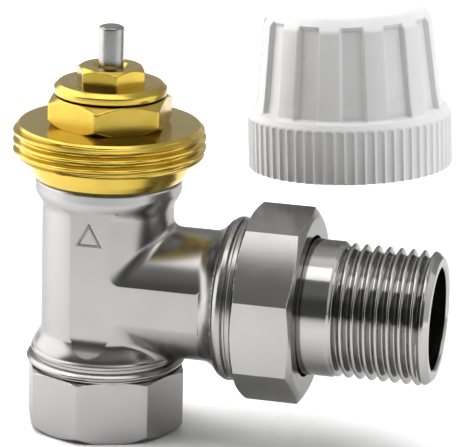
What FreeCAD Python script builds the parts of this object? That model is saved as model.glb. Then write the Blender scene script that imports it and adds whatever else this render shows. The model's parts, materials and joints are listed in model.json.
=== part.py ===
import FreeCAD, Part
import math
import os

os.makedirs("parts", exist_ok=True)

# Angle radiator valve with a sprung pin, a screwed union tail and a loose protective cap.
# Millimetres. The origin is the centre of the inlet socket's mouth. +Z runs up the
# spindle to the pin, and +X runs out through the union to the tailpiece.

Vec = FreeCAD.Vector
UP = Vec(0, 0, 1)
CENTRE = Vec(0, 0, 0)

# Overall places
OUTLET_HEIGHT = 22.3          # outlet axis above the socket mouth
TAIL_REACH = 52.8             # spindle axis to the tailpiece's end
BODY_TOP = 40.0               # rim that the brass collar sits on
STROKE = 3.5                  # travel of the pin

# Clearances
RUNNING = 0.05                # shaft in a guide
SEAL_GAP = 0.03               # seal beside a moving or fitted face
LOOSE = 0.3                   # between bodies that only pass each other
SCREWED = 0.05                # screwed joints modelled as plain turned fits

# Threads
INCH = 25.4
PIPE_PITCH = INCH / 14        # 1/2 in pipe thread
PIPE_DEPTH = 0.64 * PIPE_PITCH
SOCKET_MAJOR_R = 10.48
TAIL_CREST_R = 10.42
HEAD_PITCH = 1.5              # M30 x 1.5
HEAD_DEPTH = 0.61 * HEAD_PITCH
HEAD_CREST_R = 14.95
HALF_FLANK = math.tan(math.radians(27.5))
CREST_SHARE = 0.125           # flat at a thread's root, as a share of its pitch
CUT_PROUD = 0.3               # how far a thread cutter runs past the surface

# Forged body
SOCKET_WALL = 1.32            # socket thread to the octagon's main flats
SOCKET_FLATS = 2 * (SOCKET_MAJOR_R + SOCKET_WALL)
SOCKET_CORNER_FLATS = SOCKET_FLATS + 0.9
SOCKET_TURN = 21.0            # turn of the octagon about Z, degrees
SOCKET_TOP = 10.3
SOCKET_EDGE = 1.0             # bevel of the octagon's corners
SOCKET_MOUTH_R = SOCKET_FLATS / 2 + 0.4
SOCKET_DEPTH = 9.8
SOCKET_RELIEF = 2.0           # plain bore past the socket's thread
SOCKET_LEAD = 0.9
BEAD_R = SOCKET_FLATS / 2 + 0.8
BEAD_HEIGHT = 1.3
SMALL_BEAD_R = BEAD_R - 0.8
GROOVE_R = BEAD_R - 1.4
BARREL_R = 10.3
FLARE_TOP = 15.4
RIM_R = BARREL_R + 1.1
RIM_HEIGHT = 1.8
RIM_TAPER = 2.6
RIM_WALL = 2.4                # rim around the bore for the head
FLAT_OFFSET = BARREL_R - 0.5  # machined flat, in front of the spindle axis
FLAT_BOTTOM = FLARE_TOP
BRANCH_R = 10.3
SEAT_R = 5.5
SEAT_HEIGHT = 15.0
SEAT_LIP = 3.0
PASSAGE_R = SEAT_R + 1.0
WASHER_R = SEAT_R + 1.1
HOLDER_R = WASHER_R + 0.4
CHAMBER_R = HOLDER_R + 0.8
BRANCH_BORE_R = 7.3
NOSE_DEPTH = 4.1
TOP_BORE_R = RIM_R - RIM_WALL
TOP_BORE_DEPTH = 6.5

# Union: tailpiece, thread on the body and nut, along the outlet
SHANK_R = TAIL_CREST_R + 0.16
FLANGE_R = SHANK_R + 2.02
UNION_THREAD_R = FLANGE_R + 0.25
COLLAR_R = UNION_THREAD_R - 0.05
COLLAR_START = 17.6
COLLAR_FULL = 20.2
COLLAR_WIDTH = 1.5
RING_R = COLLAR_R - 0.5
RING_WIDTH = 0.7
UNION_THREAD_LENGTH = 6.2
UNION_FACE = COLLAR_FULL + COLLAR_WIDTH + RING_WIDTH + UNION_THREAD_LENGTH
FLANGE_THICK = 2.1
NUT_WALL = 1.2                # union thread to the nut's flats
NUT_FLATS = 2 * (UNION_THREAD_R + LOOSE + NUT_WALL)
NUT_TURN = 29.5
NUT_STANDOFF = 0.7            # ring to the nut's back face
NUT_START = UNION_FACE - UNION_THREAD_LENGTH + NUT_STANDOFF
NUT_SHOULDER = 1.5
NUT_END = UNION_FACE + LOOSE + FLANGE_THICK + LOOSE + NUT_SHOULDER
NUT_BEVEL = 0.95
NUT_FACE_R = NUT_FLATS / 2 - 0.55
NUT_BORE_R = SHANK_R + 0.39
NOSE_CLEAR = 0.3
NOSE_LENGTH = 3.6
NOSE_BORE_R = BRANCH_BORE_R - 0.4
TAIL_WALL = 2.52              # thread crest to the tailpiece's bore
TAIL_BORE_R = TAIL_CREST_R - TAIL_WALL
TAIL_THREAD_LENGTH = 15.2
TAIL_BEVEL = 1.0
SHANK_EDGE = 0.35

# Brass head, stacked up from the body's rim
NECK_FOOT_R = RIM_R - 0.1
NECK_R = NECK_FOOT_R + 0.8
NECK_FOOT = 1.0
NECK_HEIGHT = 3.3
RING_UNDER_R = HEAD_CREST_R - 2.35
RING_BOTTOM = BODY_TOP + NECK_HEIGHT
RING_HEIGHT = 5.3
RING_TOP = RING_BOTTOM + RING_HEIGHT
RING_FLAT_R = HEAD_CREST_R - 1.05
RING_BEVEL = 1.0
SLEEVE_R = HOLDER_R + 0.2       # clears the chamber that the washer holder works in
SLEEVE_BOTTOM = BODY_TOP - 11.0
HOUSING_FLATS = 17.5
HOUSING_TURN = 33.8
HOUSING_TOP = RING_TOP + 4.5
SPRING_BORE_R = 5.2
SPRING_FLOOR = SLEEVE_BOTTOM + 3.0
DISC_R = HOUSING_FLATS / 2
DISC_BOTTOM = HOUSING_TOP + LOOSE
DISC_TOP = DISC_BOTTOM + 1.8
DISC_BEVEL = 0.55
GLAND_STEM_R = 4.55
GLAND_STEM_BOTTOM = DISC_BOTTOM - 6.5
GLAND_FLATS = 9.7
GLAND_TURN = 55.7
GLAND_TOP = DISC_TOP + 2.5
GLAND_SINK = 0.8
WASHER_THICK = 0.4

# Pin, spindle and spring
PIN_R = 1.95
PIN_TIP = GLAND_TOP + 6.25
PIN_BOTTOM = GLAND_STEM_BOTTOM - 2.9
PIN_DOME = 0.5
GLAND_SINK_R = PIN_R + 0.95
CLIP_THICK = 0.6
CLIP_DEPTH = 0.4
CLIP_R = PIN_R + 1.45
ROD_R = 1.8
ROD_PROUD = 0.3               # rod below its locknut
SEAT_PLATE_R = SPRING_BORE_R - LOOSE
SEAT_PLATE_TOP = PIN_BOTTOM - 1.8
SEAT_PLATE_THICK = 1.2
WIRE_R = 0.4
COIL_R = SPRING_BORE_R - 1.1
COIL_TURNS = 4.5
GUIDE_R = ROD_R + 1.5
GUIDE_THICK = 1.3
ROD_SEAL_HEIGHT = 1.2
WASHER_HEIGHT = 2.0
WASHER_GAP = 0.1              # left between washer and seat when shut
HOLDER_HEIGHT = 2.8
HUB_R = ROD_R + 1.0
HUB_HEIGHT = 2.0
LOCKNUT_FLATS = 2 * HUB_R
LOCKNUT_HEIGHT = 1.0

# Round seals
SEAL_SECTION = 1.4

# Protective cap, in its own frame with its rim at zero
CAP_THREAD_PLAY = 0.15
CAP_WALL = 1.4
CAP_RIM_R = HEAD_CREST_R + CAP_THREAD_PLAY + CAP_WALL
CAP_RING_HEIGHT = 8.4
CAP_SHOULDER_R = CAP_RIM_R - 0.7
CAP_SHOULDER_HEIGHT = 9.6
CAP_FOOT_R = CAP_SHOULDER_R - 1.0
CAP_TOP_R = CAP_FOOT_R - 1.3
CAP_HEIGHT = 25.9
CAP_DOME = 1.4
CAP_EDGE = 2.0
CAP_FLUTES = 12
CAP_FLUTE_DEPTH = 0.9
CAP_FLUTE_SHARE = 0.5
CAP_FLUTE_TOP = CAP_HEIGHT - 1.7
CAP_FLUTE_BOTTOM = CAP_SHOULDER_HEIGHT + 0.3
CAP_RIBS = 64
CAP_RIB_DEPTH = 0.25
CAP_THREAD_START = 1.0
CAP_THREAD_LENGTH = 6.0
CAP_PLACE = Vec(31.9, 30.3, 37.0)
CAP_LEAN_X = -3.8             # degrees that its axis leans towards +X
CAP_LEAN_Y = 2.3              # degrees that its axis leans towards +Y


def turned(points):
    """Solid of revolution about Z from an outline of (radius, height) points."""
    corners = [Vec(r, 0, z) for r, z in points]
    outline = Part.makePolygon(corners + [corners[0]])
    return Part.Face(outline).revolve(CENTRE, UP, 360)


def ring(outer_r, inner_r, bottom, top):
    """Plain tube from bottom to top."""
    return turned([(inner_r, bottom), (outer_r, bottom), (outer_r, top), (inner_r, top)])


def rod(radius, bottom, top):
    """Plain round bar from bottom to top."""
    return Part.makeCylinder(radius, top - bottom, Vec(0, 0, bottom))


def prism(flats, bottom, top, turn, sides=6):
    """Regular bar, measured across its flats, with a corner at the turn angle."""
    corner_r = flats / 2 / math.cos(math.pi / sides)
    corners = []
    for i in range(sides):
        angle = math.radians(turn) + 2 * math.pi * i / sides
        corners.append(Vec(corner_r * math.cos(angle), corner_r * math.sin(angle), bottom))
    outline = Part.makePolygon(corners + [corners[0]])
    return Part.Face(outline).extrude(Vec(0, 0, top - bottom))


def round_seal(inner_r, middle):
    """Rubber ring that touches a shaft of the inner radius, less the seal gap."""
    section_r = SEAL_SECTION / 2
    return Part.makeTorus(inner_r + SEAL_GAP + section_r, section_r, Vec(0, 0, middle))


def seal_groove(outer_r, middle):
    """Cutter for the groove of a seal whose outside reaches the outer radius."""
    floor_r = outer_r - SEAL_SECTION - SEAL_GAP
    half = SEAL_SECTION / 2 + SEAL_GAP
    return ring(outer_r + SEAL_SECTION, floor_r, middle - half, middle + half)


def thread_cutter(surface_r, depth, pitch, start, end, outward):
    """Helical V groove, cut inwards from a bar or outwards from a bore."""
    sign = 1 if outward else -1
    root_r = surface_r + sign * depth
    half_root = CREST_SHARE * pitch / 2
    half_mouth = half_root + (depth + CUT_PROUD) * HALF_FLANK
    mouth_r = root_r - sign * (depth + CUT_PROUD)
    corners = [
        Vec(root_r, 0, -half_root),
        Vec(mouth_r, 0, -half_mouth),
        Vec(mouth_r, 0, half_mouth),
        Vec(root_r, 0, half_root),
    ]
    path = Part.Wire(Part.makeHelix(pitch, end - start, root_r).Edges)
    profile = Part.makePolygon(corners + [corners[0]])
    groove = path.makePipeShell([profile], True, True)
    groove.translate(Vec(0, 0, start))
    return groove


def lay_on_outlet(shape):
    """Turn a shape built along Z so that it lies along the outlet axis."""
    shape.rotate(CENTRE, Vec(0, 1, 0), 90)
    shape.translate(Vec(0, 0, OUTLET_HEIGHT))
    return shape


def save(name, shape):
    """Write one sub-part."""
    shape.exportStep("parts/" + name + ".step")


# ---- forged body -----------------------------------------------------------

def socket_octagon():
    """Spanner octagon around the inlet, bevelled at both ends."""
    square = prism(SOCKET_FLATS, 0, SOCKET_TOP, SOCKET_TURN + 45, 4)
    corners = prism(SOCKET_CORNER_FLATS, 0, SOCKET_TOP, SOCKET_TURN, 4)
    reach = SOCKET_CORNER_FLATS / 2 / math.cos(math.pi / 8)
    bevel = turned([
        (0, 0),
        (SOCKET_MOUTH_R, 0),
        (reach, SOCKET_EDGE),
        (reach, SOCKET_TOP - SOCKET_EDGE),
        (SOCKET_MOUTH_R - SOCKET_EDGE / 2, SOCKET_TOP),
        (0, SOCKET_TOP),
    ])
    return square.common(corners).common(bevel)


def barrel():
    """Beads, barrel and rim, turned about the spindle axis."""
    groove_top = SOCKET_TOP + BEAD_HEIGHT
    return turned([
        (0, SOCKET_TOP - SOCKET_EDGE),
        (GROOVE_R, SOCKET_TOP - SOCKET_EDGE),
        (GROOVE_R, SOCKET_TOP - SOCKET_EDGE / 2),
        (BEAD_R - SOCKET_EDGE / 3, SOCKET_TOP),
        (BEAD_R, SOCKET_TOP + BEAD_HEIGHT / 3),
        (BEAD_R - SOCKET_EDGE / 3, SOCKET_TOP + BEAD_HEIGHT * 2 / 3),
        (GROOVE_R, groove_top),
        (SMALL_BEAD_R, groove_top + BEAD_HEIGHT / 3),
        (SMALL_BEAD_R, groove_top + BEAD_HEIGHT * 2 / 3),
        (GROOVE_R - SOCKET_EDGE / 4, groove_top + BEAD_HEIGHT),
        (BARREL_R, FLARE_TOP),
        (BARREL_R, BODY_TOP - RIM_HEIGHT - RIM_TAPER),
        (RIM_R, BODY_TOP - RIM_HEIGHT),
        (RIM_R, BODY_TOP),
        (0, BODY_TOP),
    ])


def branch():
    """Outlet branch with its collar, ring and union thread."""
    collar_end = COLLAR_FULL + COLLAR_WIDTH
    ring_end = UNION_FACE - UNION_THREAD_LENGTH
    return lay_on_outlet(turned([
        (0, 0),
        (BRANCH_R, 0),
        (BRANCH_R, COLLAR_START),
        ((BRANCH_R + COLLAR_R) / 2, (COLLAR_START + COLLAR_FULL) / 2 + RING_WIDTH / 2),
        (COLLAR_R, COLLAR_FULL),
        (COLLAR_R, collar_end),
        (RING_R, collar_end),
        (RING_R, ring_end),
        (UNION_THREAD_R, ring_end),
        (UNION_THREAD_R, UNION_FACE),
        (0, UNION_FACE),
    ]))


def front_flat():
    """Cutter for the flat across the front of barrel and branch."""
    reach = COLLAR_START
    height = BODY_TOP - RIM_HEIGHT - RIM_TAPER / 2 - FLAT_BOTTOM
    depth = RIM_R
    corner = Vec(-reach, -FLAT_OFFSET - depth, FLAT_BOTTOM)
    return Part.makeBox(2 * reach, depth, height, corner)


def waterway():
    """Everything hollow: socket, seat, chamber, branch and the bore for the head."""
    minor_r = SOCKET_MAJOR_R - PIPE_DEPTH
    lead_r = SOCKET_MAJOR_R + SCREWED
    lead = turned([
        (0, -SOCKET_LEAD),
        (lead_r + SOCKET_LEAD, -SOCKET_LEAD),
        (minor_r, lead_r - minor_r),
        (0, lead_r - minor_r),
    ])
    hollow = rod(minor_r, -CUT_PROUD, SOCKET_DEPTH)
    hollow = hollow.fuse(lead)
    hollow = hollow.fuse(rod(minor_r + SCREWED, SOCKET_DEPTH - SOCKET_RELIEF, SOCKET_DEPTH))
    hollow = hollow.fuse(rod(PASSAGE_R, 0, SEAT_HEIGHT - SEAT_LIP))
    hollow = hollow.fuse(rod(SEAT_R, 0, SEAT_HEIGHT + CUT_PROUD))
    hollow = hollow.fuse(rod(CHAMBER_R, SEAT_HEIGHT, BODY_TOP))
    hollow = hollow.fuse(rod(TOP_BORE_R, BODY_TOP - TOP_BORE_DEPTH, BODY_TOP + CUT_PROUD))
    hollow = hollow.fuse(lay_on_outlet(rod(BRANCH_BORE_R, 0, UNION_FACE)))
    nose_r = tail_nose_r() + NOSE_CLEAR
    mouth = rod(nose_r, UNION_FACE - NOSE_DEPTH, UNION_FACE + CUT_PROUD)
    return hollow.fuse(lay_on_outlet(mouth))


def valve_body():
    """Nickel-plated forging."""
    body = socket_octagon().fuse(barrel()).fuse(branch())
    body = body.cut(front_flat()).cut(waterway())
    minor_r = SOCKET_MAJOR_R - PIPE_DEPTH
    thread_end = SOCKET_DEPTH - SOCKET_RELIEF - PIPE_PITCH / 2
    thread = thread_cutter(minor_r, PIPE_DEPTH, PIPE_PITCH, -PIPE_PITCH, thread_end, True)
    return body.cut(thread)


# ---- brass head ------------------------------------------------------------

def head_collar():
    """Brass collar screwed into the forging, with the head thread outside."""
    skirt_r = TOP_BORE_R - SCREWED
    skirt_bottom = BODY_TOP - TOP_BORE_DEPTH + SCREWED
    inner_r = SLEEVE_R + SCREWED
    collar = turned([
        (inner_r, skirt_bottom),
        (skirt_r, skirt_bottom),
        (skirt_r, BODY_TOP),
        (NECK_FOOT_R, BODY_TOP),
        (NECK_R, BODY_TOP + NECK_FOOT),
        (RING_UNDER_R, RING_BOTTOM),
        (HEAD_CREST_R - RING_BEVEL, RING_BOTTOM),
        (HEAD_CREST_R, RING_BOTTOM + RING_BEVEL * HALF_FLANK),
        (HEAD_CREST_R, RING_TOP - RING_BEVEL),
        (RING_FLAT_R, RING_TOP),
        (inner_r, RING_TOP),
    ])
    thread = thread_cutter(
        HEAD_CREST_R, HEAD_DEPTH, HEAD_PITCH,
        RING_BOTTOM - HEAD_PITCH / 2, RING_TOP + HEAD_PITCH / 2, False)
    return collar.cut(thread).cut(seal_groove(skirt_r, head_seal_height()))


def head_seal_height():
    """Middle of the two seals inside the body's rim."""
    return BODY_TOP - TOP_BORE_DEPTH / 2


def collar_seal():
    """O-ring around the collar's skirt."""
    floor_r = TOP_BORE_R - SCREWED - SEAL_SECTION - SEAL_GAP
    return round_seal(floor_r, head_seal_height())


def insert_housing():
    """Brass housing with a spanner hexagon, guide and spring chamber."""
    corner_r = HOUSING_FLATS / 2 / math.cos(math.pi / 6)
    edge = corner_r - HOUSING_FLATS / 2
    bevel = turned([
        (0, RING_TOP),
        (HOUSING_FLATS / 2, RING_TOP),
        (corner_r, RING_TOP + edge * HALF_FLANK),
        (corner_r, HOUSING_TOP - edge * HALF_FLANK),
        (HOUSING_FLATS / 2, HOUSING_TOP),
        (0, HOUSING_TOP),
    ])
    hexagon = prism(HOUSING_FLATS, RING_TOP, HOUSING_TOP, HOUSING_TURN).common(bevel)
    housing = hexagon.fuse(rod(SLEEVE_R, SLEEVE_BOTTOM, RING_TOP))
    guide_top = SLEEVE_BOTTOM + GUIDE_THICK + ROD_SEAL_HEIGHT + 2 * SEAL_GAP
    stem_bore_bottom = GLAND_STEM_BOTTOM - WASHER_THICK
    housing = housing.cut(rod(GUIDE_R + SCREWED, SLEEVE_BOTTOM, guide_top))
    housing = housing.cut(rod(ROD_R + RUNNING, SLEEVE_BOTTOM, SPRING_FLOOR))
    housing = housing.cut(rod(SPRING_BORE_R, SPRING_FLOOR, stem_bore_bottom))
    housing = housing.cut(rod(GLAND_STEM_R + SCREWED, stem_bore_bottom - SCREWED, HOUSING_TOP))
    return housing.cut(seal_groove(SLEEVE_R, head_seal_height()))


def insert_seal():
    """O-ring around the housing's sleeve."""
    return round_seal(SLEEVE_R - SEAL_SECTION - SEAL_GAP, head_seal_height())


def gland_seal_height():
    """Middle of the pin seal inside the gland nut."""
    return (GLAND_STEM_BOTTOM + DISC_BOTTOM) / 2


def gland_nut():
    """Small brass gland nut: stem, round disc and spanner hexagon."""
    corner_r = GLAND_FLATS / 2 / math.cos(math.pi / 6)
    edge = corner_r - GLAND_FLATS / 2
    bevel = turned([
        (0, DISC_TOP),
        (corner_r, DISC_TOP),
        (corner_r, GLAND_TOP - edge),
        (GLAND_FLATS / 2, GLAND_TOP),
        (0, GLAND_TOP),
    ])
    nut = prism(GLAND_FLATS, DISC_TOP, GLAND_TOP, GLAND_TURN).common(bevel)
    nut = nut.fuse(turned([
        (0, GLAND_STEM_BOTTOM),
        (GLAND_STEM_R, GLAND_STEM_BOTTOM),
        (GLAND_STEM_R, DISC_BOTTOM),
        (DISC_R, DISC_BOTTOM),
        (DISC_R, DISC_TOP - DISC_BEVEL),
        (DISC_R - DISC_BEVEL, DISC_TOP),
        (0, DISC_TOP),
    ]))
    bore_r = PIN_R + RUNNING
    middle = gland_seal_height()
    half = SEAL_SECTION / 2 + SEAL_GAP
    nut = nut.cut(rod(bore_r, GLAND_STEM_BOTTOM, GLAND_TOP))
    nut = nut.cut(rod(bore_r + SEAL_SECTION, middle - half, middle + half))
    sink = turned([
        (0, GLAND_TOP - GLAND_SINK),
        (bore_r, GLAND_TOP - GLAND_SINK),
        (GLAND_SINK_R, GLAND_TOP),
        (0, GLAND_TOP),
    ])
    return nut.cut(sink)


def pin_seal():
    """O-ring that the pin slides through."""
    return round_seal(PIN_R, gland_seal_height())


def stop_washer():
    """Steel washer under the gland that the pin's clip rests against."""
    bottom = GLAND_STEM_BOTTOM - WASHER_THICK
    return ring(GLAND_STEM_R, PIN_R + RUNNING, bottom, GLAND_STEM_BOTTOM)


def guide_bush():
    """Bush that guides the spindle at the foot of the housing."""
    return ring(GUIDE_R, ROD_R + RUNNING, SLEEVE_BOTTOM, SLEEVE_BOTTOM + GUIDE_THICK)


def spindle_seal():
    """O-ring above the guide bush."""
    bottom = SLEEVE_BOTTOM + GUIDE_THICK + SEAL_GAP
    section_r = ROD_SEAL_HEIGHT / 2
    return Part.makeTorus(ROD_R + SEAL_GAP + section_r, section_r, Vec(0, 0, bottom + section_r))


# ---- pin, spindle and spring -----------------------------------------------

def pin_clip_top():
    """Upper face of the clip, just under the stop washer at rest."""
    return GLAND_STEM_BOTTOM - WASHER_THICK - LOOSE


def clip_groove(shaft_r, top):
    """Cutter for the groove that a clip snaps into."""
    return ring(shaft_r + CLIP_DEPTH, shaft_r - CLIP_DEPTH, top - CLIP_THICK, top)


def snap_clip(shaft_r, outer_r, top):
    """Open spring clip in its groove."""
    clip = ring(outer_r, shaft_r - CLIP_DEPTH, top - CLIP_THICK, top)
    slot = Part.makeBox(outer_r, shaft_r, CLIP_THICK, Vec(0, -shaft_r / 2, top - CLIP_THICK))
    return clip.cut(slot)


def drive_pin():
    """Steel pin that the actuator presses."""
    pin = turned([
        (0, PIN_BOTTOM),
        (PIN_R, PIN_BOTTOM),
        (PIN_R, PIN_TIP - PIN_DOME),
        (PIN_R - PIN_DOME / 3, PIN_TIP - PIN_DOME / 3),
        (PIN_R - PIN_DOME, PIN_TIP),
        (0, PIN_TIP),
    ])
    return pin.cut(clip_groove(PIN_R, pin_clip_top()))


def pin_clip():
    """Clip that keeps the pin below the gland."""
    return snap_clip(PIN_R, CLIP_R, pin_clip_top())


def spindle_rod():
    """Rod from the pin down through the valve washer and its locknut."""
    bottom = washer_bottom() - LOCKNUT_HEIGHT - ROD_PROUD
    return rod(ROD_R, bottom, PIN_BOTTOM).cut(clip_groove(ROD_R, SEAT_PLATE_TOP + CLIP_THICK))


def spring_plate():
    """Plate that the spring lifts."""
    return ring(SEAT_PLATE_R, ROD_R, SEAT_PLATE_TOP - SEAT_PLATE_THICK, SEAT_PLATE_TOP)


def spindle_clip():
    """Clip that carries the spring's lift to the rod."""
    return snap_clip(ROD_R, CLIP_R, SEAT_PLATE_TOP + CLIP_THICK)


def return_spring():
    """Coil that lifts the washer off its seat."""
    start = SPRING_FLOOR + WIRE_R + SEAL_GAP
    end = SEAT_PLATE_TOP - SEAT_PLATE_THICK - WIRE_R - SEAL_GAP
    pitch = (end - start) / COIL_TURNS
    path = Part.Wire(Part.makeHelix(pitch, end - start, COIL_R).Edges)
    along = Vec(0, 1, pitch / (2 * math.pi * COIL_R))
    section = Part.Wire(Part.makeCircle(WIRE_R, Vec(COIL_R, 0, 0), along))
    coil = path.makePipeShell([section], True, True)
    coil.translate(Vec(0, 0, start))
    return coil


def washer_bottom():
    """Sealing face of the valve washer when open."""
    return SEAT_HEIGHT + STROKE + WASHER_GAP


def valve_washer():
    """Rubber washer that shuts on the seat."""
    return ring(WASHER_R, ROD_R, washer_bottom(), washer_bottom() + WASHER_HEIGHT)


def washer_holder():
    """Brass holder above the washer."""
    bottom = washer_bottom() + WASHER_HEIGHT
    top = bottom + HOLDER_HEIGHT
    return ring(HOLDER_R, ROD_R, bottom, top).fuse(ring(HUB_R, ROD_R, top, top + HUB_HEIGHT))


def washer_locknut():
    """Nut that holds the washer on the rod."""
    top = washer_bottom()
    bottom = top - LOCKNUT_HEIGHT
    return prism(LOCKNUT_FLATS, bottom, top, 0).cut(rod(ROD_R, bottom, top))


# ---- union nut and tailpiece -----------------------------------------------

def union_nut():
    """Octagon union nut that draws the tailpiece onto the body."""
    corner_r = NUT_FLATS / 2 / math.cos(math.pi / 8)
    bevel = turned([
        (0, NUT_START),
        (NUT_FACE_R, NUT_START),
        (corner_r, NUT_START + NUT_BEVEL),
        (corner_r, NUT_END - NUT_BEVEL),
        (NUT_FACE_R, NUT_END),
        (0, NUT_END),
    ])
    nut = prism(NUT_FLATS, NUT_START, NUT_END, NUT_TURN, 8).common(bevel)
    nut = nut.cut(rod(UNION_THREAD_R + LOOSE, NUT_START, NUT_END - NUT_SHOULDER))
    nut = nut.cut(rod(NUT_BORE_R, NUT_START, NUT_END))
    return lay_on_outlet(nut)


def tail_nose_r():
    """Radius of the tailpiece's nose inside the body."""
    return BRANCH_BORE_R + SEAL_SECTION


def tailpiece():
    """Tailpiece: sealing nose, flange, plain shank and pipe thread."""
    face = UNION_FACE + LOOSE
    nose_start = face - NOSE_LENGTH
    thread_start = TAIL_REACH - TAIL_THREAD_LENGTH
    nose_r = tail_nose_r()
    tail = turned([
        (NOSE_BORE_R, nose_start),
        (nose_r - SHANK_EDGE, nose_start),
        (nose_r, nose_start + SHANK_EDGE),
        (nose_r, face),
        (FLANGE_R, face),
        (FLANGE_R, face + FLANGE_THICK),
        (SHANK_R, face + FLANGE_THICK),
        (SHANK_R, thread_start - SHANK_EDGE),
        (TAIL_CREST_R, thread_start),
        (TAIL_CREST_R, TAIL_REACH - TAIL_BEVEL),
        (TAIL_CREST_R - TAIL_BEVEL, TAIL_REACH),
        (TAIL_BORE_R, TAIL_REACH),
        (TAIL_BORE_R, face + FLANGE_THICK),
        (NOSE_BORE_R, face),
    ])
    tail = tail.cut(thread_cutter(
        TAIL_CREST_R, PIPE_DEPTH, PIPE_PITCH,
        thread_start + PIPE_PITCH / 2, TAIL_REACH + PIPE_PITCH / 2, False))
    return lay_on_outlet(tail.cut(seal_groove(nose_r + NOSE_CLEAR - SEAL_GAP, nose_seal_reach())))


def nose_seal_reach():
    """Middle of the tailpiece's seal along the outlet axis."""
    return UNION_FACE + LOOSE - NOSE_LENGTH / 2


def tail_seal():
    """O-ring around the tailpiece's nose."""
    floor_r = tail_nose_r() + NOSE_CLEAR - 2 * SEAL_GAP - SEAL_SECTION
    return lay_on_outlet(round_seal(floor_r - SEAL_GAP, nose_seal_reach()))


# ---- protective cap --------------------------------------------------------

def cap_flank_r(height):
    """Outside radius of the cap's upper part at a height."""
    share = (height - CAP_SHOULDER_HEIGHT) / (CAP_HEIGHT - CAP_EDGE - CAP_SHOULDER_HEIGHT)
    return CAP_FOOT_R + share * (CAP_TOP_R - CAP_FOOT_R)


def cap_shell():
    """Outside of the cap: ribbed ring, shoulder, tapered grip and shallow dome."""
    grip_top = CAP_HEIGHT - CAP_EDGE
    return turned([
        (0, 0),
        (CAP_RIM_R - CAP_EDGE / 4, 0),
        (CAP_RIM_R, CAP_EDGE / 4),
        (CAP_RIM_R, CAP_RING_HEIGHT),
        (CAP_SHOULDER_R, CAP_SHOULDER_HEIGHT),
        (CAP_FOOT_R, CAP_SHOULDER_HEIGHT + CAP_EDGE),
        (cap_flank_r(grip_top), grip_top),
        (CAP_TOP_R - CAP_EDGE / 3, CAP_HEIGHT - CAP_EDGE / 3),
        (CAP_TOP_R - CAP_EDGE, CAP_HEIGHT),
        (CAP_TOP_R * 3 / 5, CAP_HEIGHT + CAP_DOME * 2 / 3),
        (CAP_TOP_R / 4, CAP_HEIGHT + CAP_DOME),
        (0, CAP_HEIGHT + CAP_DOME),
    ])


def cap_hollow():
    """Inside of the cap, with the thread's minor bore at the rim."""
    bore_r = cap_thread_r()
    lead_r = HEAD_CREST_R + 2 * CAP_THREAD_PLAY
    room_r = cap_flank_r(CAP_FLUTE_TOP) - CAP_FLUTE_DEPTH - CAP_WALL
    step = CAP_THREAD_START + CAP_THREAD_LENGTH
    return turned([
        (0, -CUT_PROUD),
        (lead_r, -CUT_PROUD),
        (lead_r, CAP_THREAD_START - HEAD_DEPTH / 2),
        (bore_r, CAP_THREAD_START + HEAD_DEPTH / 2),
        (bore_r, step),
        (room_r, step + bore_r - room_r),
        (room_r, CAP_HEIGHT - CAP_WALL),
        (0, CAP_HEIGHT - CAP_WALL),
    ])


def cap_thread_r():
    """Minor radius of the cap's thread."""
    return HEAD_CREST_R + CAP_THREAD_PLAY - HEAD_DEPTH


def flute(index):
    """One flat-floored grip flute of the cap."""
    angle = 360.0 * index / CAP_FLUTES
    width = 2 * math.pi * CAP_FOOT_R / CAP_FLUTES * CAP_FLUTE_SHARE
    reach = CAP_FLUTE_TOP - CAP_FLUTE_BOTTOM
    floor_low = cap_flank_r(CAP_FLUTE_BOTTOM) - CAP_FLUTE_DEPTH
    floor_high = cap_flank_r(CAP_FLUTE_TOP) - CAP_FLUTE_DEPTH
    corners = [
        Vec(floor_low, -width / 2, CAP_FLUTE_BOTTOM),
        Vec(CAP_RIM_R + CUT_PROUD, -width / 2, CAP_FLUTE_BOTTOM),
        Vec(CAP_RIM_R + CUT_PROUD, -width / 2, CAP_FLUTE_BOTTOM + reach),
        Vec(floor_high, -width / 2, CAP_FLUTE_BOTTOM + reach),
    ]
    cutter = Part.Face(Part.makePolygon(corners + [corners[0]])).extrude(Vec(0, width, 0))
    cutter.rotate(CENTRE, UP, angle)
    return cutter


def rib_gap(index):
    """One groove between two ribs of the cap's ring."""
    angle = 360.0 * index / CAP_RIBS
    width = 2 * math.pi * CAP_RIM_R / CAP_RIBS / 2
    corners = [
        Vec(CAP_RIM_R - CAP_RIB_DEPTH, 0, -CUT_PROUD),
        Vec(CAP_RIM_R + CUT_PROUD, -width, -CUT_PROUD),
        Vec(CAP_RIM_R + CUT_PROUD, width, -CUT_PROUD),
    ]
    cutter = Part.Face(Part.makePolygon(corners + [corners[0]])).extrude(UP * CAP_RING_HEIGHT)
    cutter.rotate(CENTRE, UP, angle)
    return cutter


def protective_cap():
    """White plastic cap, standing loose beside the valve."""
    cutters = [flute(i) for i in range(CAP_FLUTES)]
    cutters += [rib_gap(i) for i in range(CAP_RIBS)]
    cap = cap_shell().cut(cap_hollow()).cut(Part.makeCompound(cutters))
    thread_end = CAP_THREAD_START + CAP_THREAD_LENGTH - HEAD_PITCH / 2
    thread = thread_cutter(cap_thread_r(), HEAD_DEPTH, HEAD_PITCH, -HEAD_PITCH / 2, thread_end, True)
    cap = cap.cut(thread)
    cap.rotate(CENTRE, Vec(0, 1, 0), CAP_LEAN_X)
    cap.rotate(CENTRE, Vec(1, 0, 0), -CAP_LEAN_Y)
    cap.translate(CAP_PLACE)
    return cap


PIECES = [
    valve_body, head_collar, collar_seal, insert_housing, insert_seal, gland_nut,
    pin_seal, stop_washer, guide_bush, spindle_seal, drive_pin, pin_clip,
    spindle_rod, spring_plate, spindle_clip, return_spring, valve_washer,
    washer_holder, washer_locknut, union_nut, tailpiece, tail_seal, protective_cap,
]

for piece in PIECES:
    save(piece.__name__, piece())
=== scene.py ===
import json
import math

import bmesh
import bpy
import numpy as np
from mathutils import Matrix, Vector


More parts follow.
